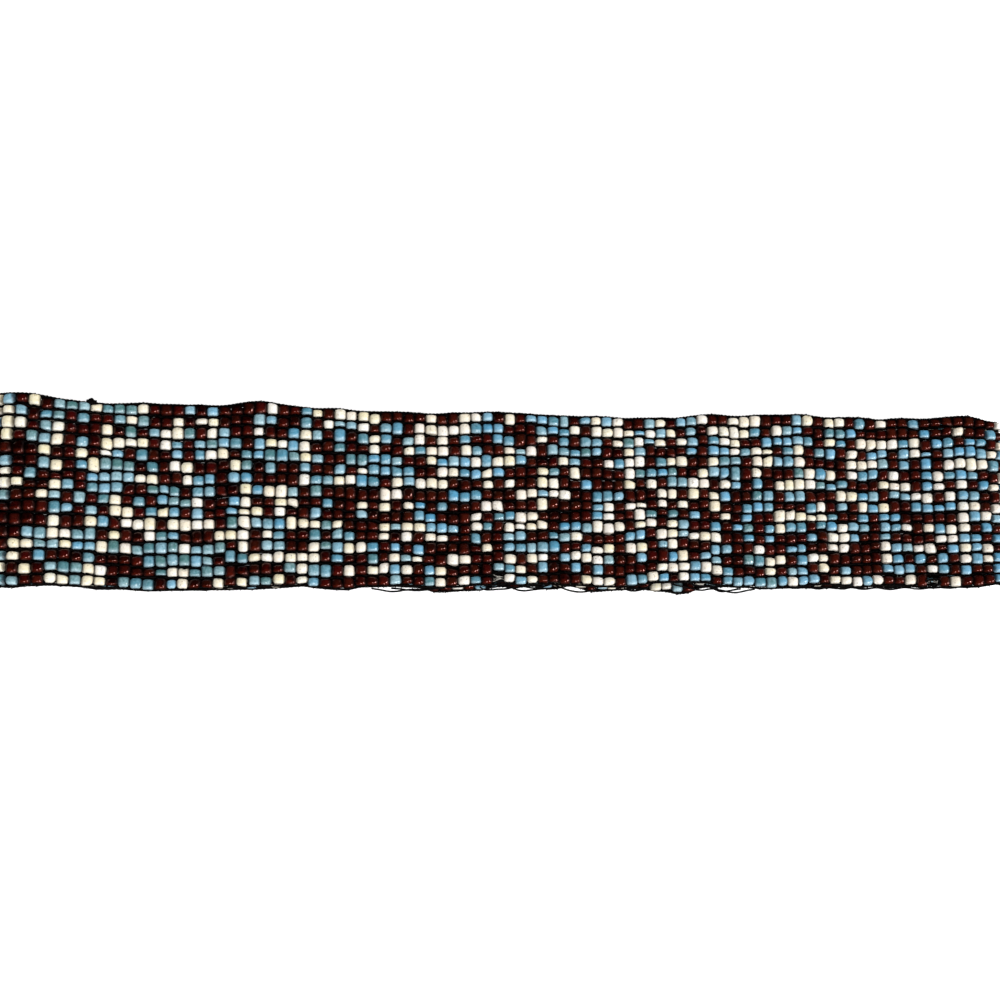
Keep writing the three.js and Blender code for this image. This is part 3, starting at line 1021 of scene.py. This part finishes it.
def make_glass(colour, groups):
    """The opaque glass of one colour: its tone, its flaws over that, and over both the painted shade
    of the rim and the painted highlight of the lip.
    """
    values = {}
    for key, row in GLASS_TABLE.items():
        value = row[BEAD_COLOURS.index(colour)]
        values[key] = linear(*value) if isinstance(value, tuple) else value
    glass = Material(f"{colour}_glass", ior=values["ior"], specular_tint=values["glint"])
    tone, flaws, rim = groups
    values["color"] = glass.group(tone, values)["Color"]
    flawed = glass.group(flaws, values)
    values["color"] = flawed["Color"]
    rimmed = glass.group(rim, values)
    glass.set(base_color=rimmed["Color"], roughness=rimmed["Roughness"])
    glass.bump(flawed["Height"], values["ripple"], RIPPLE_DEPTH)
    return glass.material


def make_nylon(name, darkest, palest, gloss):
    """Nylon thread, ribbed by its twist and a little dusty."""
    nylon = Material(name, roughness=0.6, specular_ior_level=gloss)
    dust = nylon.noise(1500.0, 3.0)
    nylon.set(base_color=nylon.mix(dust, linear(*darkest), linear(*palest)))
    turns = 2 * pi / (THREAD_RIB * MM)
    ribs = nylon.math("SINE", nylon.math("MULTIPLY", nylon.attribute("thread_length"), turns))
    nylon.bump(ribs, 0.4, 0.00005)
    return nylon.material


def make_floor():
    """A pale, faintly mottled studio floor."""
    corners = [(-1, -1, 0), (1, -1, 0), (1, 1, 0), (-1, 1, 0)]
    mesh = bpy.data.meshes.new("studio_floor")
    mesh.from_pydata([Vector(corner) * FLOOR_REACH for corner in corners], [], [range(4)])
    paper = Material("floor_paper", roughness=0.85, specular_ior_level=0.1, emission_color=WHITE)
    seen = paper.node("ShaderNodeLightPath").outputs["Is Camera Ray"]
    paper.set(base_color=paper.mix(paper.noise(60.0, 4.0), (0.9, 0.9, 0.9, 1), (0.93, 0.93, 0.925, 1)),
              emission_strength=paper.math("MULTIPLY", seen, FLOOR_GLOW))
    mesh.materials.append(paper.material)
    floor = link_object("studio_floor", mesh)
    floor.visible_glossy = False


def make_lights():
    """The studio's lights."""
    for row in LIGHTS:
        data = bpy.data.lights.new(row["name"], "AREA")
        data.shape = "SQUARE"
        data.size = row["size"]
        data.energy = row["power"]
        azimuth, elevation = radians(row["azimuth"]), radians(row["elevation"])
        way = Vector((sin(azimuth) * cos(elevation),
                      -cos(azimuth) * cos(elevation), sin(elevation)))
        light = link_object(row["name"], data)
        light.location = way * row["distance"]
        light.rotation_euler = (-way).to_track_quat("-Z", "Y").to_euler()
        light.visible_glossy = row["gleams"]


def make_air():
    """The world: white where the camera sees it, and a faint even light on the belt."""
    world = bpy.data.worlds.new("studio_air")
    world.use_nodes = True
    air = Nodes(world.node_tree)
    fill, surface = air.tree.nodes["Background"], air.tree.nodes["World Output"]
    rays = air.node("ShaderNodeLightPath").outputs
    strength = air.math("MULTIPLY_ADD", rays["Is Glossy Ray"], -AIR_FILL, AIR_FILL)
    air.feed(fill.inputs["Color"], WHITE)
    air.feed(fill.inputs["Strength"], strength)
    wall = air.node("ShaderNodeBackground", color=WHITE)
    either = air.step("ShaderNodeMixShader", {}, rays["Is Camera Ray"], fill, wall)
    air.feed(surface.inputs["Surface"], either)
    bpy.context.scene.world = world
    bpy.context.scene.view_settings.view_transform = "Standard"


def make_camera():
    """The photograph's camera."""
    look = Vector(CAMERA_LOOK).normalized()
    right = look.cross(Vector((0, 1, 0))).normalized()
    right = Matrix.Rotation(CAMERA_ROLL, 3, look) @ right
    turn = Matrix((right, right.cross(look), -look)).transposed().to_4x4()
    data = bpy.data.cameras.new("photo_camera")
    data.angle = CAMERA_ANGLE
    data.clip_start = 0.01
    camera = link_object("photo_camera", data)
    camera.matrix_world = Matrix.Translation(Vector(CAMERA_PLACE) * MM) @ turn
    bpy.context.scene.camera = camera


make_camera()
make_lights()
make_air()
make_floor()

groups = (bead_tone_group(), glass_flaw_group(), bead_shading_group())
glasses = {colour: make_glass(colour, groups) for colour in BEAD_COLOURS}
weave = Weave(LoopPath())
make_beads(weave, glasses)

thread = thread_tree()
black_spool = (thread, make_nylon("black_nylon", (3, 2, 2), (14, 11, 11), gloss=0.05))
# Pale fibres: frayed nylon, and partly a painted glint of the thread's sheen.
wear_and_glint_spool = (thread, make_nylon("worn_nylon", (96, 92, 88), (205, 200, 190), gloss=0.4))
make_warps(weave, black_spool)
make_edge_threads(weave, black_spool)
make_weft(weave, black_spool)
make_tie_knot(weave, black_spool)
make_loose_strands(weave, black_spool)
make_frayed_fibres(weave, wear_and_glint_spool)
